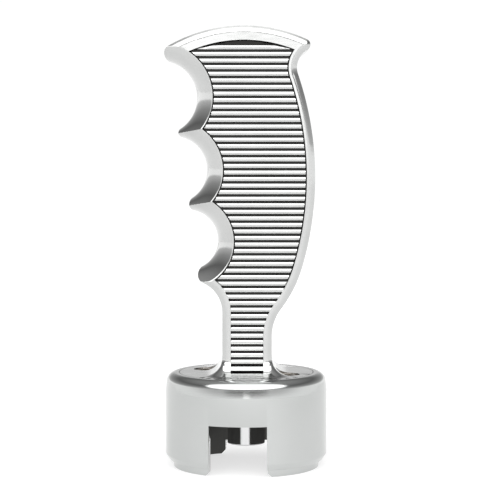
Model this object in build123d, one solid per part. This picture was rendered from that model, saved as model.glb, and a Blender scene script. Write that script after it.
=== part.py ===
"""Pistol-grip gear-shift knob on a round castellated adapter cup.

Frame: millimetres, +Z up, origin at the centre of the cup's bottom face. The grip lies in the
XZ plane, its finger grooves face -X and its ribbed sides face -Y and +Y.
"""
from build123d import *
import math
import os

# ---------------------------------------------------------------- cup (adapter)
cup_radius = 28.575          # 2 1/4 in across
cup_top = 33.26              # height of the flat top face
cup_wall = 5.0
cup_web = 3.0                # floor of the recess that the handle's flange sits in
cup_top_round = 3.5
lip_step = 2.775             # wall's outside in to the pilot lip under it
lip_height = 2.6
lip_round = 0.5
wall_chamfer_height = 2.1    # slope from the wall in to the lip
wall_chamfer_depth = 1.3
notch_width = 20.1
notch_turn = -6.3            # degrees, front notch's direction from -Y
notch_below_web = 4.96       # wall left between the web and the front notch
rear_notch_top = 5.0
notch_corner = 1.4           # rounding of the lip's corners beside a notch

# ---------------------------------------------------------------- handle
grip_thickness = 27.0
grip_edge_round = 1.2
foot_round = 6.5
foot_margin = 0.3            # flange's edge left beside the foot, at least
flange_rim = 4.975           # cup's outside in to the flange's edge
flange_thickness = 7.5
flange_fit = 0.02            # gap round the flange in its recess

neck_front = 8.3             # neck's front and back faces, from the axis
neck_back = 8.88

# Heights on the handle are above the cup's top face.
under_groove_height = 22.24  # hollow in front of the neck
under_groove_radius = 11.2
# finger grooves, bottom to top: centre x, centre height, radius
groove_sizes = [(-20.6, 46.84, 10.6), (-25.5, 71.54, 11.75), (-30.18, 96.84, 12.9)]
ridge_rounds = [2.8, 2.7, 1.9]       # tips between one groove and the next, bottom to top
beak_round = 2.8
scoop_flare = 5.4            # how far a groove widens from mid-thickness to the side face

crown_offset = -0.8          # arc over the top of the handle
crown_height = 68.79
crown_radius = 52.5
tang_corner_round = 2.0
tang_radius = 7.0            # hollow under the rear corner
tang_angle = 19.0
back_radius = 109.6
back_height = 68.94          # height of the back arc's centre
back_bulge = 23.86           # furthest point of the back from the axis
hip_radius = 44.8
hip_angle = -16.5
rear_flare_radius = 16.0

# ribs: slots cut across both side faces
rib_pitch = 2.263
rib_slot_width = 0.9
rib_slot_depth = 0.9
rib_border = 2.9             # plain rim left between the slots and the outline
first_slot_height = 1.74
slot_count = 51
crown_border = 4.9           # plain crescent left under the crown
scoop_rim = 0.3              # rim left between a finger groove and the slots

# ---------------------------------------------------------------- threaded bushing
post_radius = 6.67
post_bottom = 7.7
post_edge = 0.5
hex_across_flats = 19.05     # 3/4 in hexagon bar
hex_height = 3.5
hex_turn = 30.0              # degrees, a corner's direction from +X
stub_radius = 6.0            # upper end, screwed up into the handle
stub_length = 16.0
stub_fit = 0.02
stub_end_gap = 1.0           # above the stub, in the handle's bore
stub_clearance = 0.3         # round the stub, through the web and the washer
lever_thread_radius = 7.94 / 2       # tap drill for 3/8-16
lever_thread_depth = 20.0
bushing_washer_radius = 10.2
bushing_washer_thickness = 1.6

# ---------------------------------------------------------------- mounting screws, #10-24
screw_inset = 7.3            # flange's edge in to a screw's axis
screw_angles = {"left": 153.0, "right": -27.0}
screw_thread_radius = 4.83 / 2
screw_relief = 0.34          # plain shank under the head is as thick as the pitch diameter
screw_head_radius = 7.92 / 2
screw_head_height = 4.83
screw_socket = 3.97          # 5/32 in hexagon key
screw_socket_depth = 2.4
screw_length = 12.7
screw_tip_chamfer = 0.7
screw_thread_gap = 0.3       # thread starts this far under the cup's web
screw_hole_clearance = 0.3
screw_head_clearance = 0.3
screw_sink = 0.35            # head's top below the flange's top
knurl_count = 36
knurl_depth = 0.22
washer_inset = 0.01          # washer's edge inside the screw head's
washer_thickness = 1.1
running_gap = 0.05           # between a screw and the washer it turns on

# ---------------------------------------------------------------- derived places
half_thickness = grip_thickness / 2
flange_radius = cup_radius - flange_rim
flange_bottom = cup_top - flange_thickness
web_bottom = flange_bottom - cup_web
cup_bore = cup_radius - cup_wall
lip_radius = cup_radius - lip_step
recess_radius = flange_radius + flange_fit
front_notch_top = web_bottom - notch_below_web
finger_grooves = [(x, cup_top + height, r) for x, height, r in groove_sizes]
first_slot = cup_top + first_slot_height
neck_corner = math.hypot(neck_back - grip_edge_round, half_thickness - grip_edge_round)
foot_room = flange_radius - neck_corner - grip_edge_round
foot_fillet = min(foot_round, foot_room - foot_margin)
screw_circle = flange_radius - screw_inset
washer_radius = screw_head_radius - washer_inset
washer_top = cup_top - screw_sink - screw_head_height - running_gap
washer_seat = washer_top - washer_thickness
counterbore_radius = screw_head_radius + screw_head_clearance
clearance_radius = screw_thread_radius + screw_hole_clearance
bushing_washer_bottom = web_bottom - bushing_washer_thickness
hex_bottom = bushing_washer_bottom - hex_height
stub_top = bushing_washer_bottom + stub_length


# ---------------------------------------------------------------- outline of the handle
# A circle of the outline is (x, z, r): r is positive where the handle is inside the circle
# (a round corner) and negative where the handle is outside it (a hollow).

def touching(first, second, radius, side):
    """The circle of the given signed radius that touches two others.

    side is +1 or -1: which of the two possible centres, left or right of first -> second.
    """
    x1, z1, r1 = first
    x2, z2, r2 = second
    d1 = abs(radius - r1)
    d2 = abs(radius - r2)
    gap = math.hypot(x2 - x1, z2 - z1)
    along = (d1**2 - d2**2 + gap**2) / (2 * gap)
    across = side * math.sqrt(d1**2 - along**2)
    ux, uz = (x2 - x1) / gap, (z2 - z1) / gap
    return (x1 + along * ux - across * uz, z1 + along * uz + across * ux, radius)


def touch_normal(first, second):
    """Outward normal that two touching circles share."""
    x1, z1, r1 = first
    x2, z2, r2 = second
    nx, nz = (x1 - x2) / (r2 - r1), (z1 - z2) / (r2 - r1)
    size = math.hypot(nx, nz)
    return nx / size, nz / size


def on_circle(circle, normal):
    x, z, r = circle
    return x + r * normal[0], z + r * normal[1]


def outline_circles():
    """Circles round the handle, from the front of the neck up, over and down the back."""
    under_x = -neck_front - under_groove_radius
    under = (under_x, cup_top + under_groove_height, -under_groove_radius)
    hollow = [under] + [(x, z, -r) for x, z, r in finger_grooves]
    crown = (crown_offset, cup_top + crown_height, crown_radius)
    back = (back_bulge - back_radius, cup_top + back_height, back_radius)
    circles = [under]
    for lower, upper, ridge in zip(hollow, hollow[1:], ridge_rounds):
        circles.append(touching(lower, upper, ridge, -1))
        circles.append(upper)
    circles.append(touching(hollow[-1], crown, beak_round, 1))
    circles.append(crown)
    tang_reach = back_radius + tang_radius
    tang = (
        back[0] + tang_reach * math.cos(math.radians(tang_angle)),
        back[1] + tang_reach * math.sin(math.radians(tang_angle)),
        -tang_radius,
    )
    circles.append(touching(crown, tang, tang_corner_round, 1))
    circles.append(tang)
    circles.append(back)
    hip_reach = back_radius - hip_radius
    hip = (
        back[0] + hip_reach * math.cos(math.radians(hip_angle)),
        back[1] + hip_reach * math.sin(math.radians(hip_angle)),
        hip_radius,
    )
    circles.append(hip)
    flare_x = neck_back + rear_flare_radius
    flare_drop = math.sqrt((hip_radius + rear_flare_radius) ** 2 - (flare_x - hip[0]) ** 2)
    circles.append((flare_x, hip[1] - flare_drop, -rear_flare_radius))
    return circles


def outline_face(bottom):
    """The handle's side view as a face in the XZ plane, cut off level at the given height."""
    circles = outline_circles()
    normals = [(-1.0, 0.0)]
    normals += [touch_normal(a, b) for a, b in zip(circles, circles[1:])]
    normals.append((1.0, 0.0))
    corners = [on_circle(c, n) for c, n in zip(circles, normals)]
    corners.append(on_circle(circles[-1], normals[-1]))
    edges = [Line((-neck_front, bottom), corners[0])]
    for circle, start, end, n1, n2 in zip(circles, corners, corners[1:], normals, normals[1:]):
        size = math.hypot(n1[0] + n2[0], n1[1] + n2[1])
        middle = on_circle(circle, ((n1[0] + n2[0]) / size, (n1[1] + n2[1]) / size))
        edges.append(ThreePointArc(start, middle, end))
    edges.append(Line(corners[-1], (neck_back, bottom)))
    edges.append(Line((neck_back, bottom), (-neck_front, bottom)))
    flat = make_face(edges)
    return Plane.XZ * flat


# ---------------------------------------------------------------- handle
def scoop_cutter(groove):
    """Spool shape that a finger groove leaves: narrow at mid-thickness, wide at the side faces."""
    x, z, r = groove
    sweep = (half_thickness**2 + scoop_flare**2) / (2 * scoop_flare)
    reach = half_thickness + 1.0
    edge_r = r + sweep - math.sqrt(sweep**2 - reach**2)
    profile = make_face([
        Line((0, -reach), (edge_r, -reach)),
        ThreePointArc((edge_r, -reach), (r, 0), (edge_r, reach)),
        Line((edge_r, reach), (0, reach)),
        Line((0, reach), (0, -reach)),
    ])
    return Pos(x, 0, z) * revolve(profile, Axis.Y)


def rib_region():
    """Side view of the ribbed area: the outline drawn in by the rim, less the scoops."""
    circles = outline_circles()
    under, crown, tang_corner, tang, back, hip, flare = circles[0], *circles[-6:]
    beak = circles[-7]
    inner_front = rib_border - neck_front
    inner_back = neck_back - rib_border
    low = cup_top

    def inset(circle, border=rib_border):
        return circle[0], circle[1], circle[2] - border

    def arc(circle, n1, n2):
        size = math.hypot(n1[0] + n2[0], n1[1] + n2[1])
        middle = (n1[0] + n2[0]) / size, (n1[1] + n2[1]) / size
        return ThreePointArc(*[on_circle(circle, n) for n in (n1, middle, n2)])

    crown_in = inset(crown, crown_border)
    crown_from = touch_normal(beak, crown)
    crown_to = touch_normal(crown, tang_corner)
    back_from = touch_normal(tang, back)
    back_to = touch_normal(back, hip)
    hip_to = touch_normal(hip, flare)
    parts = [
        arc(inset(under), (-1, 0), (0, -1)),
        arc(crown_in, crown_from, crown_to),
        arc(inset(back), back_from, back_to),
        arc(inset(hip), back_to, hip_to),
        arc(inset(flare), hip_to, (1, 0)),
    ]
    ends = [(edge @ 0, edge @ 1) for edge in parts]
    edges = parts + [
        Line((inner_front, low), ends[0][0]),
        Line(ends[0][1], ends[1][0]),
        Line(ends[1][1], ends[2][0]),
        Line(ends[4][1], (inner_back, low)),
        Line((inner_back, low), (inner_front, low)),
    ]
    region = make_face(edges)
    region -= Pos(tang[0], tang[1]) * Circle(rib_border - tang[2])
    for x, z, r in finger_grooves:
        region -= Pos(x, z) * Circle(r + scoop_flare + scoop_rim)
    return Plane.XZ * region


def rib_field(body):
    """Slots across both side faces, kept inside a plain rim."""
    field = extrude(rib_region(), grip_thickness, both=True)
    slots = []
    depth = rib_slot_depth + foot_fillet
    middle = half_thickness - rib_slot_depth + depth / 2
    for side in (-1, 1):
        for row in range(slot_count):
            height = first_slot + row * rib_pitch
            place = Pos(0, side * middle, height)
            slots.append(place * Box(4 * back_bulge, depth, rib_slot_width))
    return body - (field & Compound(slots))


def make_handle():
    blade_bottom = cup_top - flange_thickness / 2
    blade = extrude(outline_face(blade_bottom), half_thickness, both=True)
    rims = [e for e in blade.edges() if abs(abs(e.center().Y) - half_thickness) < 1e-3]
    rims = [e for e in rims if e.center().Z > cup_top]
    blade = fillet(rims, grip_edge_round)
    for groove in finger_grooves:
        blade -= scoop_cutter(groove)
    flange = Pos(0, 0, flange_bottom) * Cylinder(
        flange_radius, flange_thickness, align=(Align.CENTER, Align.CENTER, Align.MIN)
    )
    handle = blade + flange
    foot = [
        e for e in handle.edges()
        if abs(e.center().Z - cup_top) < 1e-3 and abs(e.center().Y) < half_thickness + 0.1
        and e.bounding_box().size.Z < 1e-3 and e.length < 3 * half_thickness
    ]
    handle = fillet(foot, foot_fillet)
    handle = rib_field(handle)
    handle -= Pos(0, 0, flange_bottom) * Cylinder(
        stub_radius + stub_fit, stub_top + stub_end_gap - flange_bottom,
        align=(Align.CENTER, Align.CENTER, Align.MIN)
    )
    for angle in screw_angles.values():
        handle -= screw_place(angle) * screw_hole()
    return handle


# ---------------------------------------------------------------- cup
def screw_place(angle):
    return Pos(
        screw_circle * math.cos(math.radians(angle)),
        screw_circle * math.sin(math.radians(angle)),
        0,
    )


def screw_hole():
    """Counterbore and clearance hole, from above the flange to below the web."""
    deep = Pos(0, 0, web_bottom - 1) * Cylinder(
        clearance_radius, cup_top - web_bottom + 2, align=(Align.CENTER, Align.CENTER, Align.MIN)
    )
    bore = Pos(0, 0, washer_seat) * Cylinder(
        counterbore_radius, cup_top + foot_fillet - washer_seat,
        align=(Align.CENTER, Align.CENTER, Align.MIN)
    )
    return deep + bore


def notch_cutter(top, turn):
    """Parallel-sided gap through one side of the wall, with the lip's corners broken."""
    reach = cup_radius + 2
    gap = Pos(0, -reach / 2, (top - 1) / 2) * Box(notch_width, reach, top + 1)
    lead = make_face(Polyline(
        (-notch_width / 2 - notch_corner, -0.01), (notch_width / 2 + notch_corner, -0.01),
        (notch_width / 2, notch_corner), (-notch_width / 2, notch_corner), close=True
    ))
    lead = extrude(Plane.XZ * lead, reach)
    return Rot(0, 0, turn) * (gap + lead)


def make_cup():
    wall_foot = lip_height + wall_chamfer_height
    profile = make_face(Plane.XZ * Polyline(
        (cup_bore, 0), (lip_radius, 0), (lip_radius, lip_height),
        (cup_radius - wall_chamfer_depth, lip_height), (cup_radius, wall_foot),
        (cup_radius, cup_top), (recess_radius, cup_top), (recess_radius, flange_bottom),
        (0, flange_bottom), (0, web_bottom), (cup_bore, web_bottom), close=True
    ))
    cup = revolve(profile, Axis.Z)
    top_edge = [
        e for e in cup.edges().filter_by(GeomType.CIRCLE)
        if abs(e.center().Z - cup_top) < 1e-3 and abs(e.radius - cup_radius) < 1e-3
    ]
    cup = fillet(top_edge, cup_top_round)
    lip_edge = [
        e for e in cup.edges().filter_by(GeomType.CIRCLE)
        if abs(e.center().Z) < 1e-3 and abs(e.radius - lip_radius) < 1e-3
    ]
    cup = fillet(lip_edge, lip_round)
    cup -= notch_cutter(front_notch_top, notch_turn)
    cup -= notch_cutter(rear_notch_top, notch_turn + 180)
    cup -= Pos(0, 0, web_bottom - 1) * Cylinder(
        stub_radius + stub_clearance, cup_web + 2,
        align=(Align.CENTER, Align.CENTER, Align.MIN)
    )
    for angle in screw_angles.values():
        cup -= screw_place(angle) * screw_hole()
    return cup


# ---------------------------------------------------------------- bushing and washer
def make_bushing():
    """Hexagon-bar bushing: plain post below, threaded stub above, lever thread inside."""
    post = Pos(0, 0, post_bottom) * Cylinder(
        post_radius, hex_bottom - post_bottom, align=(Align.CENTER, Align.CENTER, Align.MIN)
    )
    low_edge = post.edges().filter_by(GeomType.CIRCLE).sort_by(Axis.Z)[0]
    post = fillet(low_edge, post_edge)
    nut = extrude(
        Plane.XY.offset(hex_bottom)
        * RegularPolygon(hex_across_flats / 2, 6, major_radius=False, rotation=hex_turn),
        hex_height
    )
    stub = Pos(0, 0, hex_bottom + hex_height) * Cylinder(
        stub_radius, stub_length, align=(Align.CENTER, Align.CENTER, Align.MIN)
    )
    stub = chamfer(stub.edges().sort_by(Axis.Z)[-1], post_edge)
    bore = Pos(0, 0, post_bottom - 1) * Cylinder(
        lever_thread_radius, lever_thread_depth + 1, align=(Align.CENTER, Align.CENTER, Align.MIN)
    )
    return post + nut + stub - bore


def split_washer(outer, inner, bottom, thickness, slit):
    """Spring lock washer: a flat ring with one slit."""
    ring = Pos(0, 0, bottom) * (
        Cylinder(outer, thickness, align=(Align.CENTER, Align.CENTER, Align.MIN))
        - Cylinder(inner, thickness, align=(Align.CENTER, Align.CENTER, Align.MIN))
    )
    return ring - Pos(0, outer, bottom + thickness / 2) * Rot(0, 30, 0) * Box(
        slit, 2 * outer, 3 * thickness
    )


def make_bushing_washer():
    return split_washer(
        bushing_washer_radius, stub_radius + stub_clearance,
        bushing_washer_bottom, bushing_washer_thickness, 1.0
    )


# ---------------------------------------------------------------- mounting screws
def make_screw(angle):
    """Socket-head cap screw with a knurled head."""
    head_bottom = washer_top + running_gap
    head = Pos(0, 0, head_bottom) * Cylinder(
        screw_head_radius, screw_head_height, align=(Align.CENTER, Align.CENTER, Align.MIN)
    )
    for step in range(knurl_count):
        turn = 360 / knurl_count * step
        groove = Pos(screw_head_radius, 0, head_bottom + screw_head_height / 2) * Rot(0, 0, 45)
        head -= Rot(0, 0, turn) * groove * Box(
            knurl_depth * math.sqrt(2), knurl_depth * math.sqrt(2), screw_head_height - 0.8
        )
    tip = head_bottom - screw_length
    shank = Pos(0, 0, tip) * Cylinder(
        screw_thread_radius - screw_relief, screw_length,
        align=(Align.CENTER, Align.CENTER, Align.MIN)
    )
    thread = Pos(0, 0, tip) * Cylinder(
        screw_thread_radius, web_bottom - screw_thread_gap - tip,
        align=(Align.CENTER, Align.CENTER, Align.MIN)
    )
    thread = chamfer(thread.edges().sort_by(Axis.Z)[0], screw_tip_chamfer)
    shank &= Pos(0, 0, tip + screw_tip_chamfer) * Cylinder(
        screw_thread_radius, screw_length, align=(Align.CENTER, Align.CENTER, Align.MIN)
    )
    head_top = head_bottom + screw_head_height
    socket = extrude(
        Plane.XY.offset(head_top) * RegularPolygon(screw_socket / 2, 6, major_radius=False),
        -screw_socket_depth
    )
    return screw_place(angle) * (head + shank + thread - socket)


def make_screw_washer(angle):
    return screw_place(angle) * split_washer(
        washer_radius, clearance_radius, washer_seat, washer_thickness, 0.8
    )


# ---------------------------------------------------------------- write every node
def main():
    nodes = {
        "pistol_handle": make_handle(),
        "adapter_cup": make_cup(),
        "lever_bushing": make_bushing(),
        "bushing_lock_washer": make_bushing_washer(),
    }
    for side, angle in screw_angles.items():
        nodes[f"mounting_screw_{side}"] = make_screw(angle)
        nodes[f"screw_lock_washer_{side}"] = make_screw_washer(angle)
    os.makedirs("parts", exist_ok=True)
    for name, shape in nodes.items():
        export_step(shape, f"parts/{name}.step")


main()
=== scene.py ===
"""Pistol-grip gear-shift knob: polished handle, buffed cup, chromed bushing and brown cap screws.

Lengths are written in millimetres and turned into metres with MM where a mesh is made.
"""
import math
import bpy
import bmesh
import numpy as np
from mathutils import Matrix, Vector


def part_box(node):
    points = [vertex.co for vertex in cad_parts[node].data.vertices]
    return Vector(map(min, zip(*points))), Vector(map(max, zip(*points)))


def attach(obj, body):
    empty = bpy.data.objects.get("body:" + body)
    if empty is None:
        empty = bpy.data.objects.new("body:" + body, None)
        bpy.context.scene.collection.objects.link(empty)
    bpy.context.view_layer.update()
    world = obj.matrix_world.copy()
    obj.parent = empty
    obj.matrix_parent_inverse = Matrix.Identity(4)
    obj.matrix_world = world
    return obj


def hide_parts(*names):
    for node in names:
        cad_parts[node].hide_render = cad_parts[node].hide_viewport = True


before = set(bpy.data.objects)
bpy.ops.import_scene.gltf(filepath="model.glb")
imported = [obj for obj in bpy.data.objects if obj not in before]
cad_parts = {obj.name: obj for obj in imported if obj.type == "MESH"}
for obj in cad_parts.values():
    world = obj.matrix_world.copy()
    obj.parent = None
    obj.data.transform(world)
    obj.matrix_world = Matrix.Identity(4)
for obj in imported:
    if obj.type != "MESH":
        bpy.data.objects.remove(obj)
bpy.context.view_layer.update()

MM = 0.001

# ---------------------------------------------------------------- sizes, as in the CAD model
CUP_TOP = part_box("adapter_cup")[1].z / MM
HALF_THICKNESS = 13.5
EDGE_ROUND = 1.2
FOOT_ROUND = 6.5
# a hair wider than the CAD flange, so that the joint round it all but closes
FLANGE_RADIUS = 23.612
FLANGE_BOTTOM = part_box("pistol_handle")[0].z / MM
NECK_FRONT = 8.3
NECK_BACK = 8.88

UNDER_GROOVE = (55.5, 11.2)          # height of its centre, radius
# centre x, centre z, radius
FINGER_GROOVES = [(-20.6, 80.1, 10.6), (-25.5, 104.8, 11.75), (-30.18, 130.1, 12.9)]
RIDGE_ROUNDS = [2.8, 2.7, 1.9]
BEAK_ROUND = 2.8
SCOOP_FLARE = 5.4
CROWN = (-0.8, 102.05, 52.5)         # centre x, centre z, radius
TANG_CORNER_ROUND = 2.0
TANG_RADIUS = 7.0
TANG_ANGLE = 19.0                    # degrees above +X, from the back's centre
BACK_RADIUS = 109.6
BACK_HEIGHT = 102.2
BACK_BULGE = 23.86
HIP_RADIUS = 44.8
HIP_ANGLE = -16.5                    # degrees
REAR_FLARE_RADIUS = 16.0

RIB_PITCH = 2.263
FIRST_SLOT = 35.0
SLOT_COUNT = 51
RIB_BORDER = 2.9
CROWN_BORDER = 4.9
SCOOP_RIM = 0.3

CUP_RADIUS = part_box("adapter_cup")[1].x / MM
CUP_BORE = 23.575
CUP_ROUND = 3.5
# the wall leans in a little below the shoulder's round; the CAD cup has the round alone
SHOULDER_LEAN = 8.0                  # degrees, where the lean meets the round
LEAN_HEIGHT = 3.2
LEAN_POWER = 1.15                    # 1 would be a straight cone, 2 a parabola
LIP_RADIUS = 25.8
LIP_HEIGHT = 2.6
WALL_CHAMFER = (2.1, 1.3)            # height, depth
WEB_BOTTOM = 22.76
RECESS_RADIUS = 23.62
STUB_HOLE = 6.3
NOTCH_WIDTH = 20.1
NOTCH_TURN = -6.3                    # degrees
NOTCH_CORNER = 1.4
FRONT_NOTCH_TOP = 17.8
REAR_NOTCH_TOP = 5.0
SEAM = 0.004                         # broken edge on both sides of the flange's joint
STUB_BORE = 6.02
STUB_BORE_TOP = 38.16
SCREW_CIRCLE = 16.3                  # radius of the circle that both screws stand on
SCREW_CENTRES = [
    (SCREW_CIRCLE * math.cos(math.radians(a)), SCREW_CIRCLE * math.sin(math.radians(a)))
    for a in (153, -27)
]
CLEARANCE_RADIUS = 2.715
COUNTERBORE_RADIUS = 4.26
WASHER_SEAT = 26.93
CUTTER_BOTTOM = 20                   # under the flange and the web
CLEARANCE_TOP = 30                   # above the cup's web
COUNTERBORE_TOP = 45                 # clear of the foot's flare


# ---------------------------------------------------------------- outline of the handle
# A circle is (x, z, r): r is positive where the handle is inside it, negative where outside.

def touching(first, second, radius, side):
    """The circle of the given signed radius that touches two others, on one side of their line."""
    x1, z1, r1 = first
    x2, z2, r2 = second
    d1 = abs(radius - r1)
    d2 = abs(radius - r2)
    gap = math.hypot(x2 - x1, z2 - z1)
    along = (d1**2 - d2**2 + gap**2) / (2 * gap)
    across = side * math.sqrt(d1**2 - along**2)
    ux, uz = (x2 - x1) / gap, (z2 - z1) / gap
    return (x1 + along * ux - across * uz, z1 + along * uz + across * ux, radius)


def touch_angle(first, second):
    """Direction of the outward normal that two touching circles share."""
    x1, z1, r1 = first
    x2, z2, r2 = second
    turn = 1.0 if r2 > r1 else -1.0
    return math.atan2((z1 - z2) * turn, (x1 - x2) * turn)


def polar(circle, reach, degrees, radius):
    angle = math.radians(degrees)
    return (circle[0] + reach * math.cos(angle), circle[1] + reach * math.sin(angle), radius)


def outline_circles():
    """Circles round the handle, from the front of the neck up, over and down the back."""
    under = (-NECK_FRONT - UNDER_GROOVE[1], UNDER_GROOVE[0], -UNDER_GROOVE[1])
    hollows = [under] + [(x, z, -r) for x, z, r in FINGER_GROOVES]
    back = (BACK_BULGE - BACK_RADIUS, BACK_HEIGHT, BACK_RADIUS)
    tang = polar(back, BACK_RADIUS + TANG_RADIUS, TANG_ANGLE, -TANG_RADIUS)
    hip = polar(back, BACK_RADIUS - HIP_RADIUS, HIP_ANGLE, HIP_RADIUS)
    flare_x = NECK_BACK + REAR_FLARE_RADIUS
    drop = math.sqrt((HIP_RADIUS + REAR_FLARE_RADIUS) ** 2 - (flare_x - hip[0]) ** 2)
    circles = [under]
    for lower, upper, ridge in zip(hollows, hollows[1:], RIDGE_ROUNDS):
        circles.append(touching(lower, upper, ridge, -1))
        circles.append(upper)
    circles.append(touching(hollows[-1], CROWN, BEAK_ROUND, 1))
    circles.append(CROWN)
    circles.append(touching(CROWN, tang, TANG_CORNER_ROUND, 1))
    circles += [tang, back, hip, (flare_x, hip[1] - drop, -REAR_FLARE_RADIUS)]
    return circles


CIRCLES = outline_circles()
TURNS = [math.pi] + [touch_angle(a, b) for a, b in zip(CIRCLES, CIRCLES[1:])] + [0.0]


def outline_points(steps=160):
    """Front branch, bottom to top, and back branch, top to bottom, as arrays of x and z."""
    front, back = [], []
    for circle, start, end in zip(CIRCLES, TURNS, TURNS[1:]):
        x, z, r = circle
        sweep = (end - start + math.pi) % (2 * math.pi) - math.pi
        for step in range(steps + 1):
            angle = start + sweep * step / steps
            point = (x + r * math.cos(angle), z + r * math.sin(angle))
            on_front = math.cos(angle) < 0
            (front if on_front else back).append(point)
    apex = (CROWN[0], CROWN[1] + CROWN[2])
    front.append(apex)
    back.insert(0, apex)
    return np.array(front), np.array(back[::-1])


FRONT, BACK = outline_points()
APEX = CROWN[1] + CROWN[2]


def flare(z):
    """How far the foot stands out from the neck at a height."""
    rise = np.clip((CUP_TOP + FOOT_ROUND - z) / FOOT_ROUND, 0, 1)
    return FOOT_ROUND * (1 - np.sqrt(1 - rise**2))


def inside_outline(x, z):
    """Distance from a point in to the outline, to whichever arc or neck line faces it."""
    near = np.full(np.shape(x), 1e3)
    for (cx, cz, r), start, end in zip(CIRCLES, TURNS, TURNS[1:]):
        side = math.copysign(1.0, r)
        sweep = (end - start + math.pi) % (2 * math.pi) - math.pi
        facing = np.arctan2(side * (z - cz), side * (x - cx))
        share = ((facing - start + math.pi) % (2 * math.pi) - math.pi) / sweep
        depth = r - side * np.hypot(x - cx, z - cz)
        faces_arc = (share > -1e-6) & (share < 1 + 1e-6)
        near = np.where(faces_arc, np.minimum(near, depth), near)
    near = np.where(z < UNDER_GROOVE[0], np.minimum(near, x + NECK_FRONT), near)
    near = np.where(z < CIRCLES[-1][1], np.minimum(near, NECK_BACK - x), near)
    return near


def inside_ribs(x, z):
    """Distance from a point in to the border of the ribbed area, negative outside it."""
    inset = inside_outline(x, z) - RIB_BORDER
    under_crown = CROWN[2] - CROWN_BORDER - np.hypot(x - CROWN[0], np.maximum(z - CROWN[1], 0))
    inset = np.minimum(inset, under_crown)
    for cx, cz, r in FINGER_GROOVES:
        inset = np.minimum(inset, np.hypot(x - cx, z - cz) - r - SCOOP_FLARE - SCOOP_RIM)
    return inset


def smooth_step(t):
    t = np.clip(t, 0, 1)
    return t * t * (3 - 2 * t)


def soft_min(a, b, blend):
    """The smaller of two heights, rounded where they cross."""
    return np.minimum(a, b) - np.maximum(blend - np.abs(a - b), 0) ** 2 / (4 * blend)


# ribs: rounded bars, sunk in a pocket, with a narrow flat valley between one and the next,
# and a moat round the pocket that fades out where the blade turns into the neck
VALLEY_HALF = 0.30
VALLEY_SIDE = 0.12
VALLEY_DEPTH = 1.3
RIB_SAG = 0.48
RIB_ROUNDNESS = 0.93
MOAT_HALF = 0.24
MOAT_DEPTH = 0.7
MOAT_FLATNESS = 1.4
MOAT_FADE = 12
NECK_TOP = 60.0
END_SLOPE = 0.35
CREASE_SOFTNESS = 0.25
RIM_WIDTH = 1.45
RIM_SOFTNESS = 0.6
FLARE_BLEND = 0.6                    # where the foot stands out this far, its round has taken over


def from_valley(z):
    """Height above or below the nearest valley's middle."""
    phase = (z - FIRST_SLOT) / RIB_PITCH
    return np.abs(phase - np.round(phase)) * RIB_PITCH


def in_valley(z):
    """1 on the floor of a valley or above the last bar, 0 on a bar."""
    above_last = z - FIRST_SLOT > (SLOT_COUNT - 1) * RIB_PITCH
    in_slot = smooth_step((VALLEY_HALF + VALLEY_SIDE - from_valley(z)) / VALLEY_SIDE)
    in_slot = np.where(z > FIRST_SLOT - RIB_PITCH / 2, in_slot, 0.0)
    return np.where(above_last, 1.0, in_slot)


def rib_depth(z):
    """How far the ribbed surface lies under the plain side face, by height."""
    rib_half = RIB_PITCH / 2 - VALLEY_HALF
    across = np.clip((RIB_PITCH / 2 - from_valley(z)) / rib_half, 0, 1) * RIB_ROUNDNESS
    sag = RIB_SAG * (1 - np.sqrt(1 - across**2)) / (1 - math.sqrt(1 - RIB_ROUNDNESS**2))
    sag = np.where(z > FIRST_SLOT, sag, 0)
    return sag + (VALLEY_DEPTH - sag) * in_valley(z)


def moat(border, z):
    """1 along the middle of the groove round the ribbed area, which fades out down the neck."""
    across = smooth_step(MOAT_FLATNESS * (1 - np.abs(border / MOAT_HALF - 1)))
    return across * smooth_step((z - NECK_TOP) / MOAT_FADE)


def rim_height(inset, out):
    """Half-thickness at a distance in from the outline: a broken edge above, a round flare at the foot."""
    corner = EDGE_ROUND + out
    drop = corner - np.clip(inset + out, 0, corner)
    flared = HALF_THICKNESS - EDGE_ROUND + np.sqrt(corner**2 - drop**2)
    slope = HALF_THICKNESS - EDGE_ROUND + EDGE_ROUND / RIM_WIDTH * np.maximum(inset, 0)
    broken = soft_min(np.full_like(slope, HALF_THICKNESS), slope, RIM_SOFTNESS)
    return np.where(out > 0, flared + (broken - flared) * np.clip(1 - out / FLARE_BLEND, 0, 1), broken)


def side_height(x, z):
    """Half the handle's thickness at a point of its side view."""
    out = flare(z)
    height = rim_height(inside_outline(x, z), out)
    sweep = (HALF_THICKNESS**2 + SCOOP_FLARE**2) / (2 * SCOOP_FLARE)
    for cx, cz, r in FINGER_GROOVES:
        reach = np.clip(np.hypot(x - cx, z - cz) - r, 0, sweep)
        scoop = np.sqrt(sweep**2 - (sweep - reach) ** 2)
        height = np.where(reach < sweep, soft_min(height, scoop, CREASE_SOFTNESS), height)
    border = inside_ribs(x, z)
    sunk = smooth_step(border / END_SLOPE) * (rib_depth(z) + out * in_valley(z))
    return np.maximum(height - np.maximum(sunk, MOAT_DEPTH * moat(border, z)), 0)


# ---------------------------------------------------------------- mesh helpers
def new_object(name, verts, faces):
    """A mesh object from points in millimetres."""
    mesh = bpy.data.meshes.new(name)
    mesh.from_pydata([tuple(v) for v in np.asarray(verts) * MM], [], faces)
    mesh.update()
    piece = bpy.data.objects.new(name, mesh)
    bpy.context.scene.collection.objects.link(piece)
    return piece


def tidy_mesh(piece, merge=0.002):
    """Joins doubled points, drops flat faces and turns every face outwards."""
    bm = bmesh.new()
    bm.from_mesh(piece.data)
    bmesh.ops.remove_doubles(bm, verts=bm.verts, dist=merge * MM)
    bmesh.ops.dissolve_degenerate(bm, edges=bm.edges, dist=merge * MM / 4)
    bmesh.ops.recalc_face_normals(bm, faces=bm.faces)
    bm.to_mesh(piece.data)
    bm.free()


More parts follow.
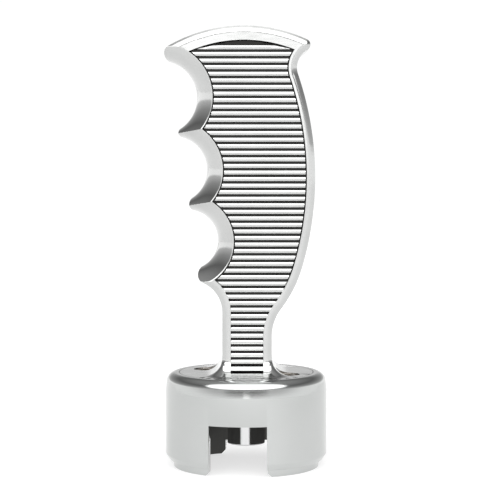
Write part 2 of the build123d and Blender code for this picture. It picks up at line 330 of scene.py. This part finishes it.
def shade(piece, degrees=30):
    mesh = piece.data
    mesh.shade_smooth()
    mesh.set_sharp_from_angle(angle=math.radians(degrees))


def apply_modifiers(piece):
    """Replaces the piece's mesh with the result of its modifiers."""
    graph = bpy.context.evaluated_depsgraph_get()
    mesh = bpy.data.meshes.new_from_object(piece.evaluated_get(graph))
    piece.modifiers.clear()
    old = piece.data
    piece.data = mesh
    bpy.data.meshes.remove(old)


def cut(piece, *cutters):
    """Subtracts the cutter objects, then removes them."""
    for cutter in cutters:
        step = piece.modifiers.new("cut", "BOOLEAN")
        step.operation = "DIFFERENCE"
        step.solver = "EXACT"
        step.object = cutter
    apply_modifiers(piece)
    for cutter in cutters:
        bpy.data.objects.remove(cutter)


def finish_piece(piece, mat, body, node):
    """Gives a piece its material and its body, and hides the CAD node that it stands for."""
    piece.data.materials.clear()
    piece.data.materials.append(mat)
    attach(piece, body)
    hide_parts(node)


def lathe(name, profile, segments=128, centre=(0, 0)):
    """Turns a closed profile of (radius, height) points about a vertical axis."""
    count = len(profile)
    verts = []
    for step in range(segments):
        angle = 2 * math.pi * step / segments
        for radius, height in profile:
            x = centre[0] + radius * math.cos(angle)
            verts.append((x, centre[1] + radius * math.sin(angle), height))
    faces = []
    for step in range(segments):
        here, there = step * count, (step + 1) % segments * count
        for k in range(count):
            n = (k + 1) % count
            faces.append((here + k, there + k, there + n, here + n))
    piece = new_object(name, verts, faces)
    tidy_mesh(piece)
    return piece


# ---------------------------------------------------------------- handle
VALLEY_ROWS = [0.0, 0.14, 0.26, 0.31, 0.35, 0.40, 0.47, 0.58, 0.75, 0.94]  # above a valley's middle
FOOT_ROWS = 14
CROWN_ROWS = 44
POCKET_END = (2.6, 0.2, 0.083)       # fine rows: this far below and above the pocket's top, spacing
CLOSEST_ROWS = 0.004
EDGE_COLUMNS = 33
SAMPLES = 1400                       # along a row, to find where its ribbed area begins and ends
RIB_END_COLUMNS = [0, 0.08, 0.16, 0.24, 0.32, 0.40, 0.48, 0.56, 0.66, 0.85, 1.2]
WALL_STEPS = 30                      # across the handle's thickness


def row_heights():
    """Heights of the handle's cross-sections, close together where its shape turns fast."""
    phases = sorted([-t for t in VALLEY_ROWS[1:]] + VALLEY_ROWS + [RIB_PITCH / 2])
    rows = [FIRST_SLOT + k * RIB_PITCH + t for k in range(SLOT_COUNT) for t in phases]
    rise = rows[0] - CUP_TOP
    turns = [math.pi / 2 * (s / FOOT_ROWS) for s in range(FOOT_ROWS)]
    rows += [CUP_TOP + rise * (1 - math.cos(t)) for t in turns]
    crown = APEX - max(rows)
    rows += [APEX - crown * (1 - s / CROWN_ROWS) ** 2 for s in range(1, CROWN_ROWS)]
    pocket_top = APEX - CROWN_BORDER
    below, above, spacing = POCKET_END
    rows += list(np.arange(pocket_top - below, pocket_top + above, spacing))
    rows = np.array(sorted(rows))
    return rows[np.diff(rows, prepend=0) > CLOSEST_ROWS]


def row_columns(rows):
    """Where along X each row is sampled: outline, ribbed area and outline again."""
    out = flare(rows)
    front = np.interp(rows, FRONT[:, 1], FRONT[:, 0]) - out
    back = np.interp(rows, BACK[:, 1], BACK[:, 0]) + out
    width = np.maximum(back - front, 0)
    share = np.linspace(0, 1, SAMPLES)
    x = front[:, None] + width[:, None] * share[None, :]
    inset = inside_ribs(x, np.repeat(rows[:, None], len(share), axis=1))
    ribbed = inset > 0
    first = np.argmax(ribbed, axis=1)
    last = len(share) - 1 - np.argmax(ribbed[:, ::-1], axis=1)
    has = ribbed.any(axis=1)
    left = np.where(has, front + width * share[first], front + 0.4 * width)
    right = np.where(has, front + width * share[last], front + 0.6 * width)
    ends = np.array(RIB_END_COLUMNS)
    band = (1 - np.cos(np.pi * np.linspace(0, 1, EDGE_COLUMNS))) / 2
    middle = np.linspace(0, 1, 12)[1:-1]
    columns = [front + (left - front) * t for t in band[:-1]]
    scale = np.minimum(1, (right - left) / (2.5 * ends[-1]))
    columns += [left + e * scale for e in ends]
    low, high = left + ends[-1] * scale, right - ends[-1] * scale
    columns += [low + (high - low) * t for t in middle]
    columns += [right - e * scale for e in ends[::-1]]
    columns += [right + (back - right) * t for t in band[1:]]
    return np.array(columns).T


def handle_loops():
    """Closed cross-sections of the handle, bottom to top, each with the same number of points."""
    rows = row_heights()
    x = row_columns(rows)
    z = np.repeat(rows[:, None], x.shape[1], axis=1)
    y = side_height(x, z)
    wall = np.linspace(1, -1, WALL_STEPS + 1)[1:-1]
    loops = []
    for k in range(len(rows)):
        side = list(zip(x[k], y[k], z[k]))
        rear = [(x[k][-1], y[k][-1] * t, rows[k]) for t in wall]
        other = [(a, -b, c) for a, b, c in side[::-1]]
        face = [(x[k][0], y[k][0] * -t, rows[k]) for t in wall]
        loops.append(side + rear + other + face)
    return loops


def handle_body():
    """The handle as one closed skin: flange, foot, blade, scoops and ribs, with a narrow flat top."""
    loops = handle_loops()
    count = len(loops[0])
    angles = [math.atan2(y, x) for x, y, z in loops[0]]

    def ring(radius, height):
        return [(radius * math.cos(a), radius * math.sin(a), height) for a in angles]

    inner = FLANGE_RADIUS - 2
    base = [ring(inner, FLANGE_BOTTOM), ring(FLANGE_RADIUS, FLANGE_BOTTOM)]
    base += [ring(FLANGE_RADIUS, CUP_TOP - SEAM), ring(FLANGE_RADIUS - SEAM, CUP_TOP)]
    loops = base + loops
    verts = [v for loop in loops for v in loop]
    faces = []
    for k in range(len(loops) - 1):
        a, b = k * count, (k + 1) * count
        for i in range(count):
            n = (i + 1) % count
            faces.append((a + i, a + n, b + n, b + i))
    faces.append(tuple(range(len(verts) - count, len(verts))))
    verts.append((0, 0, FLANGE_BOTTOM))
    faces += [((i + 1) % count, i, len(verts) - 1) for i in range(count)]
    piece = new_object("handle_body", verts, faces)
    tidy_mesh(piece)
    return piece


MOAT_PAINTED_SHADE = 0.8                     # the moat gets less painted shade than a valley
FLANGE_UNSHADED = 0.2                   # no painted shade up to this height above the flange


def mark_valleys(piece):
    """Stores how deep in a valley between two ribs each point lies, for the material, which paints
    near-black shade there from it.
    """
    points = np.empty(len(piece.data.vertices) * 3)
    piece.data.vertices.foreach_get("co", points)
    x, y, z = points.reshape(-1, 3).T / MM
    border = inside_ribs(x, z)
    # how much painted shade each point gets: full in a valley, less along the moat
    depth = np.maximum(smooth_step(border / END_SLOPE) * in_valley(z), MOAT_PAINTED_SHADE * moat(border, z))
    depth[z < CUP_TOP + FLANGE_UNSHADED] = 0
    field = piece.data.attributes.new("valley", "FLOAT", "POINT")
    field.data.foreach_set("value", depth.astype(np.float32))


def make_handle():
    """Handle with the stub's bore from below and a stepped hole for each screw."""
    piece = handle_body()
    cutters = [lathe("bore", [
        (0, CUTTER_BOTTOM), (STUB_BORE, CUTTER_BOTTOM), (STUB_BORE, STUB_BORE_TOP), (0, STUB_BORE_TOP),
    ])]
    for centre in SCREW_CENTRES:
        cutters.append(lathe("counterbore", [
            (0, CUTTER_BOTTOM), (CLEARANCE_RADIUS, CUTTER_BOTTOM), (CLEARANCE_RADIUS, WASHER_SEAT),
            (COUNTERBORE_RADIUS, WASHER_SEAT), (COUNTERBORE_RADIUS, COUNTERBORE_TOP),
            (0, COUNTERBORE_TOP),
        ], centre=centre))
    cut(piece, *cutters)
    mark_valleys(piece)
    shade(piece, 45)
    finish_piece(piece, polished_metal(), "knob", "pistol_handle")


# ---------------------------------------------------------------- cup
CUP_SEGMENTS = 256
HOLE_SEGMENTS = 64
PROFILE_ROUND = 0.25
NOTCH_EDGE = 0.16
NOTCH_EDGE_ANGLE = 50                # degrees, sharper edges than this are broken


def rounded(corners, round_by=PROFILE_ROUND, steps=3):
    """A closed profile with every corner replaced by a small arc-like curve."""
    points = []
    for k, (r, z) in enumerate(corners):
        before = Vector(corners[k - 1]) - Vector((r, z))
        after = Vector(corners[(k + 1) % len(corners)]) - Vector((r, z))
        start = Vector((r, z)) + before.normalized() * min(round_by, before.length / 3)
        end = Vector((r, z)) + after.normalized() * min(round_by, after.length / 3)
        for t in np.linspace(0, 1, steps + 1):
            points.append(tuple(start * (1 - t) ** 2 + Vector((r, z)) * 2 * t * (1 - t) + end * t**2))
    return points


def shoulder(steps=32):
    """Buffed shoulder: the wall leans in a little over its last millimetres, then turns up to the top."""
    lean = math.radians(SHOULDER_LEAN)
    lean_depth = LEAN_HEIGHT * math.tan(lean) / LEAN_POWER
    turn = (CUP_ROUND - lean_depth) / math.cos(lean)
    low = CUP_TOP - turn * (1 - math.sin(lean)) - LEAN_HEIGHT
    points = []
    for t in np.linspace(0, 1, 17):
        points.append((CUP_RADIUS - lean_depth * t**LEAN_POWER, low + LEAN_HEIGHT * t))
    for angle in np.linspace(lean, math.pi / 2, steps + 1)[1:]:
        across = lean_depth + turn * (math.cos(lean) - math.cos(angle))
        points.append((CUP_RADIUS - across, CUP_TOP - turn * (1 - math.sin(angle))))
    return points


def box_cutter(turn, half_width, top):
    """Block that opens one side of the cup, with the pilot lip's corners broken."""
    reach = CUP_RADIUS + 2
    wide = half_width + NOTCH_CORNER
    outline = [(-wide - 1, -1), (wide + 1, -1), (half_width, NOTCH_CORNER), (half_width, top)]
    outline += [(-half_width, top), (-half_width, NOTCH_CORNER)]
    verts = [(x, y, z) for y in (0, -reach) for x, z in outline]
    count = len(outline)
    faces = [tuple(range(count)), tuple(range(2 * count - 1, count - 1, -1))]
    faces += [(k, k + count, (k + 1) % count + count, (k + 1) % count) for k in range(count)]
    cutter = new_object("notch", verts, faces)
    tidy_mesh(cutter)
    cutter.rotation_euler.z = math.radians(turn)
    return cutter


def make_cup():
    """Cup with its web, pilot lip, two notches and screw holes."""
    wall_foot = LIP_HEIGHT + WALL_CHAMFER[0]
    lower = rounded([
        (RECESS_RADIUS, FLANGE_BOTTOM), (STUB_HOLE, FLANGE_BOTTOM), (STUB_HOLE, WEB_BOTTOM),
        (CUP_BORE, WEB_BOTTOM), (CUP_BORE, 0), (LIP_RADIUS, 0), (LIP_RADIUS, LIP_HEIGHT),
        (CUP_RADIUS - WALL_CHAMFER[1], LIP_HEIGHT), (CUP_RADIUS, wall_foot),
    ])
    upper = [(RECESS_RADIUS + SEAM, CUP_TOP), (RECESS_RADIUS, CUP_TOP - SEAM)]
    piece = lathe("cup_body", lower + shoulder() + upper, CUP_SEGMENTS)
    cutters = [
        box_cutter(NOTCH_TURN, NOTCH_WIDTH / 2, FRONT_NOTCH_TOP),
        box_cutter(NOTCH_TURN + 180, NOTCH_WIDTH / 2, REAR_NOTCH_TOP),
    ]
    for centre in SCREW_CENTRES:
        cutters.append(lathe("clearance", [
            (0, CUTTER_BOTTOM), (CLEARANCE_RADIUS, CUTTER_BOTTOM),
            (CLEARANCE_RADIUS, CLEARANCE_TOP), (0, CLEARANCE_TOP),
        ], HOLE_SEGMENTS, centre))
    bpy.context.view_layer.update()
    cut(piece, *cutters)
    edge = piece.modifiers.new("broken_edges", "BEVEL")
    edge.width = NOTCH_EDGE * MM
    edge.segments = 2
    edge.limit_method = "ANGLE"
    edge.angle_limit = math.radians(NOTCH_EDGE_ANGLE)
    apply_modifiers(piece)
    tidy_mesh(piece)
    shade(piece, 40)
    finish_piece(piece, turned_metal(), "knob", "adapter_cup")


# ---------------------------------------------------------------- materials
def new_material(name):
    """An empty metal material with its nodes, links and object coordinates."""
    mat = bpy.data.materials.new(name)
    mat.use_nodes = True
    nodes, links = mat.node_tree.nodes, mat.node_tree.links
    shader = nodes["Principled BSDF"]
    shader.inputs["Metallic"].default_value = 1.0
    place = nodes.new("ShaderNodeTexCoord").outputs["Object"]
    return mat, nodes, links, shader, place


def noise(nodes, links, place, scale, detail=3.0, stretch=(1, 1, 1)):
    """Noise on the object's own coordinates; scale is in features per metre."""
    mapping = nodes.new("ShaderNodeMapping")
    mapping.inputs["Scale"].default_value = stretch
    links.new(place, mapping.inputs["Vector"])
    texture = nodes.new("ShaderNodeTexNoise")
    texture.inputs["Scale"].default_value = scale
    texture.inputs["Detail"].default_value = detail
    links.new(mapping.outputs["Vector"], texture.inputs["Vector"])
    return texture.outputs["Fac"]


def ramp(nodes, links, value, low, high, start=0.3, end=0.7):
    """Maps a value to a number or colour between low and high."""
    is_colour = isinstance(low, tuple)
    if not is_colour:
        span = nodes.new("ShaderNodeMapRange")
        for name, number in zip(("From Min", "From Max", "To Min", "To Max"), (start, end, low, high)):
            span.inputs[name].default_value = number
        links.new(value, span.inputs["Value"])
        return span.outputs["Result"]
    colours = nodes.new("ShaderNodeValToRGB")
    colours.color_ramp.elements[0].position = start
    colours.color_ramp.elements[0].color = (*low, 1)
    colours.color_ramp.elements[1].position = end
    colours.color_ramp.elements[1].color = (*high, 1)
    links.new(value, colours.inputs["Fac"])
    return colours.outputs["Color"]


def mix(nodes, links, share, first, colour):
    """Blends from a linked colour to a fixed one by a share from 0 to 1."""
    blend = nodes.new("ShaderNodeMix")
    blend.data_type = "RGBA"
    links.new(share, blend.inputs["Factor"])
    links.new(first, blend.inputs["A"])
    blend.inputs["B"].default_value = (*colour, 1)
    return blend.outputs["Result"]


def bump(nodes, links, height, distance_mm, normal=None):
    """A bumpy normal, on top of another one if that is given."""
    step = nodes.new("ShaderNodeBump")
    step.inputs["Distance"].default_value = distance_mm * MM
    links.new(height, step.inputs["Height"])
    if normal:
        links.new(normal, step.inputs["Normal"])
    return step.outputs["Normal"]


def polished_metal():
    """Polished cast aluminium: faint casting waves, hair scratches and near-black painted shade in the
    valleys.
    """
    mat, nodes, links, shader, place = new_material("polished_cast_metal")
    patches = noise(nodes, links, place, 90, 4)
    clean = ramp(nodes, links, patches, (0.52, 0.525, 0.52), (0.57, 0.575, 0.57))
    valley = nodes.new("ShaderNodeAttribute")
    valley.attribute_name = "valley"
    # painted shade: the base colour goes near-black down the rib valleys and along the moat
    painted_shade = ramp(nodes, links, valley.outputs["Fac"], 0.0, 0.97, 0.1, 0.6)
    links.new(mix(nodes, links, painted_shade, clean, (0.008, 0.0075, 0.007)), shader.inputs["Base Color"])
    scratches = noise(nodes, links, place, 900, 6, (0.25, 1, 3))
    links.new(ramp(nodes, links, scratches, 0.06, 0.14), shader.inputs["Roughness"])
    waves = bump(nodes, links, noise(nodes, links, place, 130, 2), 0.05)
    links.new(bump(nodes, links, scratches, 0.0012, waves), shader.inputs["Normal"])
    return mat


def turned_metal():
    """Turned and buffed aluminium: fine lathe rings outside; inside, where it is not buffed, it is duller,
    and its colour is darkened there as painted shade.
    """
    mat, nodes, links, shader, place = new_material("buffed_turned_metal")
    patches = noise(nodes, links, place, 35, 2)
    buffed = ramp(nodes, links, patches, (0.485, 0.497, 0.49), (0.52, 0.53, 0.525))
    flat = nodes.new("ShaderNodeVectorMath")
    flat.operation = "MULTIPLY"
    flat.inputs[1].default_value = (1, 1, 0)
    links.new(place, flat.inputs[0])
    radius = nodes.new("ShaderNodeVectorMath")
    radius.operation = "LENGTH"
    links.new(flat.outputs["Vector"], radius.inputs[0])
    inner, outer = (CUP_BORE + 0.1) * MM, (CUP_BORE + 0.5) * MM
    inside = ramp(nodes, links, radius.outputs["Value"], 1.0, 0.0, inner, outer)
    # painted shade: the colour inside the bore is darkened to near-black
    links.new(mix(nodes, links, inside, buffed, (0.07, 0.07, 0.067)), shader.inputs["Base Color"])
    rings = noise(nodes, links, place, 400, 2, (0.03, 0.03, 20))
    dull = nodes.new("ShaderNodeMath")
    dull.operation = "MULTIPLY_ADD"
    links.new(inside, dull.inputs[0])
    dull.inputs[1].default_value = 0.25
    links.new(ramp(nodes, links, rings, 0.09, 0.17), dull.inputs[2])
    links.new(dull.outputs["Value"], shader.inputs["Roughness"])
    links.new(bump(nodes, links, rings, 0.0008), shader.inputs["Normal"])
    return mat


def chromed_metal():
    """Bright chromed bar stock with faint lengthwise drawing lines."""
    mat, nodes, links, shader, place = new_material("chromed_bar")
    lines = noise(nodes, links, place, 700, 4, (1, 1, 0.04))
    bright = ramp(nodes, links, lines, (0.58, 0.585, 0.59), (0.68, 0.68, 0.68))
    links.new(bright, shader.inputs["Base Color"])
    links.new(ramp(nodes, links, lines, 0.05, 0.14), shader.inputs["Roughness"])
    links.new(bump(nodes, links, lines, 0.003), shader.inputs["Normal"])
    return mat


def screw_steel():
    """Oiled alloy steel with brown tarnish in patches."""
    mat, nodes, links, shader, place = new_material("oiled_screw_steel")
    tarnish = noise(nodes, links, place, 700, 5)
    brown = ramp(nodes, links, tarnish, (0.20, 0.16, 0.12), (0.46, 0.41, 0.36))
    links.new(brown, shader.inputs["Base Color"])
    links.new(ramp(nodes, links, tarnish, 0.42, 0.24), shader.inputs["Roughness"])
    links.new(bump(nodes, links, tarnish, 0.01), shader.inputs["Normal"])
    return mat


def zinc_steel():
    """Zinc-plated spring steel, dull with a fine crystal grain."""
    mat, nodes, links, shader, place = new_material("zinc_spring_steel")
    grain = noise(nodes, links, place, 1500, 4)
    zinc = ramp(nodes, links, grain, (0.48, 0.50, 0.49), (0.66, 0.67, 0.66))
    links.new(zinc, shader.inputs["Base Color"])
    links.new(ramp(nodes, links, grain, 0.28, 0.42), shader.inputs["Roughness"])
    links.new(bump(nodes, links, grain, 0.005), shader.inputs["Normal"])
    return mat


def pale_floor():
    """Matt paper that glows a little, so that it stays white round the object."""
    mat, nodes, links, shader, place = new_material("pale_floor")
    shader.inputs["Metallic"].default_value = 0.0
    shader.inputs["Roughness"].default_value = 0.7
    paper = noise(nodes, links, place, 40, 4)
    pale = ramp(nodes, links, paper, (0.38, 0.38, 0.38), (0.40, 0.40, 0.40))
    links.new(pale, shader.inputs["Base Color"])
    shader.inputs["Emission Color"].default_value = (1, 1, 1, 1)
    shader.inputs["Emission Strength"].default_value = 0.68
    return mat


def dress(node, mat):
    """Gives a CAD node its finished material."""
    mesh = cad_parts[node].data
    mesh.materials.clear()
    mesh.materials.append(mat)


# ---------------------------------------------------------------- studio
FLOOR_RADIUS = 3000
FLOOR_STEPS = 96
FLOOR_DROP = 0.05
# brightness of the tent by the height of a direction, which is the sine of its elevation
TENT = [(-1.0, 0.8), (1.0, 0.48), (-0.03, 1.3), (0.07, 1.3), (0.1, 0.7), (0.25, 0.40), (0.5, 0.17)]
# patches: where, squeeze across, angles from the middle where it begins and is full, brightness
TENT_PATCHES = [
    ((0, -0.3, 1), 1.0, 38, 16, 0.62),          # grey overhead
    ((0, -0.695, 0.719), 0.6, 40, 34, 2.5),     # large white panel, high in front
    ((0, -1, 0.063), 0.8, 4.5, 3.2, 1.9),       # small white card, straight in front
    ((0, -1, 0.148), 0.07, 2.8, 2.0, 0.03),     # long dark bar over that card
    ((0, 1, -0.10), 0.35, 12.7, 10.9, 1.03),    # white backdrop
]


def make_floor():
    angles = np.linspace(0, 2 * math.pi, FLOOR_STEPS, False)
    rim = [(FLOOR_RADIUS * math.cos(a), FLOOR_RADIUS * math.sin(a), 0) for a in angles]
    floor = new_object("floor", rim, [tuple(range(FLOOR_STEPS))])
    floor.data.materials.append(pale_floor())
    floor.location.z = -FLOOR_DROP * MM


def make_sky():
    """Light tent: bright at eye level, darker above, with the patches of TENT_PATCHES on it."""
    world = bpy.data.worlds.new("light_tent")
    world.use_nodes = True
    bpy.context.scene.world = world
    nodes, links = world.node_tree.nodes, world.node_tree.links
    direction = nodes.new("ShaderNodeTexCoord").outputs["Generated"]
    split = nodes.new("ShaderNodeSeparateXYZ")
    links.new(direction, split.inputs[0])
    half = nodes.new("ShaderNodeMapRange")
    half.inputs["From Min"].default_value = -1
    links.new(split.outputs["Z"], half.inputs["Value"])
    tent = nodes.new("ShaderNodeValToRGB")
    links.new(half.outputs["Result"], tent.inputs["Fac"])
    spots = tent.color_ramp.elements
    for k, (height, grey) in enumerate(TENT):
        spot = spots[k] if k < 2 else spots.new((height + 1) / 2)
        spot.position = (height + 1) / 2
        spot.color = (grey, grey, grey, 1)
    glow = tent.outputs["Color"]
    for towards, squeeze, wide, narrow, grey in TENT_PATCHES:
        stretch = nodes.new("ShaderNodeVectorMath")
        stretch.operation = "MULTIPLY"
        stretch.inputs[1].default_value = (squeeze, 1, 1)
        links.new(direction, stretch.inputs[0])
        unit = nodes.new("ShaderNodeVectorMath")
        unit.operation = "NORMALIZE"
        links.new(stretch.outputs["Vector"], unit.inputs[0])
        dot = nodes.new("ShaderNodeVectorMath")
        dot.operation = "DOT_PRODUCT"
        dot.inputs[1].default_value = Vector(towards).normalized()
        links.new(unit.outputs["Vector"], dot.inputs[0])
        inside = nodes.new("ShaderNodeMapRange")
        inside.interpolation_type = "SMOOTHSTEP"
        inside.inputs["From Min"].default_value = math.cos(math.radians(wide))
        inside.inputs["From Max"].default_value = math.cos(math.radians(narrow))
        links.new(dot.outputs["Value"], inside.inputs["Value"])
        glow = mix(nodes, links, inside.outputs["Result"], glow, (grey, grey, grey))
    links.new(glow, nodes["Background"].inputs["Color"])


def make_lamp(name, place, size, power):
    """A soft panel light aimed at the middle of the object; lengths in metres, power in watts."""
    lamp = bpy.data.lights.new(name, "AREA")
    lamp.shape = "RECTANGLE"
    lamp.size, lamp.size_y = size
    lamp.energy = power
    panel = bpy.data.objects.new(name, lamp)
    panel.location = place
    aim = Vector((0, 0, 0.08)) - panel.location
    panel.rotation_euler = aim.to_track_quat("-Z", "Y").to_euler()
    bpy.context.scene.collection.objects.link(panel)


CAMERA_PLACE = (0, -0.60934, 0.11182)    # metres
LOOK_DOWN = 3.32                         # degrees
SENSOR_WIDTH = 36
LENS = 124.24
SHIFT = 0.0076


def make_camera():
    lens = bpy.data.cameras.new("camera")
    lens.sensor_width = SENSOR_WIDTH
    lens.lens = LENS
    lens.shift_x = SHIFT
    lens.clip_start = 0.01
    camera = bpy.data.objects.new("camera", lens)
    camera.location = CAMERA_PLACE
    camera.rotation_euler = (math.radians(90 - LOOK_DOWN), 0, 0)
    bpy.context.scene.collection.objects.link(camera)
    bpy.context.scene.camera = camera


# ---------------------------------------------------------------- build everything
make_camera()
make_floor()
make_sky()
make_lamp("front_panel", (0.0, -1.1, 0.95), (0.9, 0.6), 4)
bpy.context.scene.view_settings.view_transform = "Standard"

make_handle()
make_cup()
dress("lever_bushing", chromed_metal())
screw_finish = screw_steel()
washer_finish = zinc_steel()
dress("bushing_lock_washer", washer_finish)
for side in ("left", "right"):
    dress(f"mounting_screw_{side}", screw_finish)
    dress(f"screw_lock_washer_{side}", washer_finish)
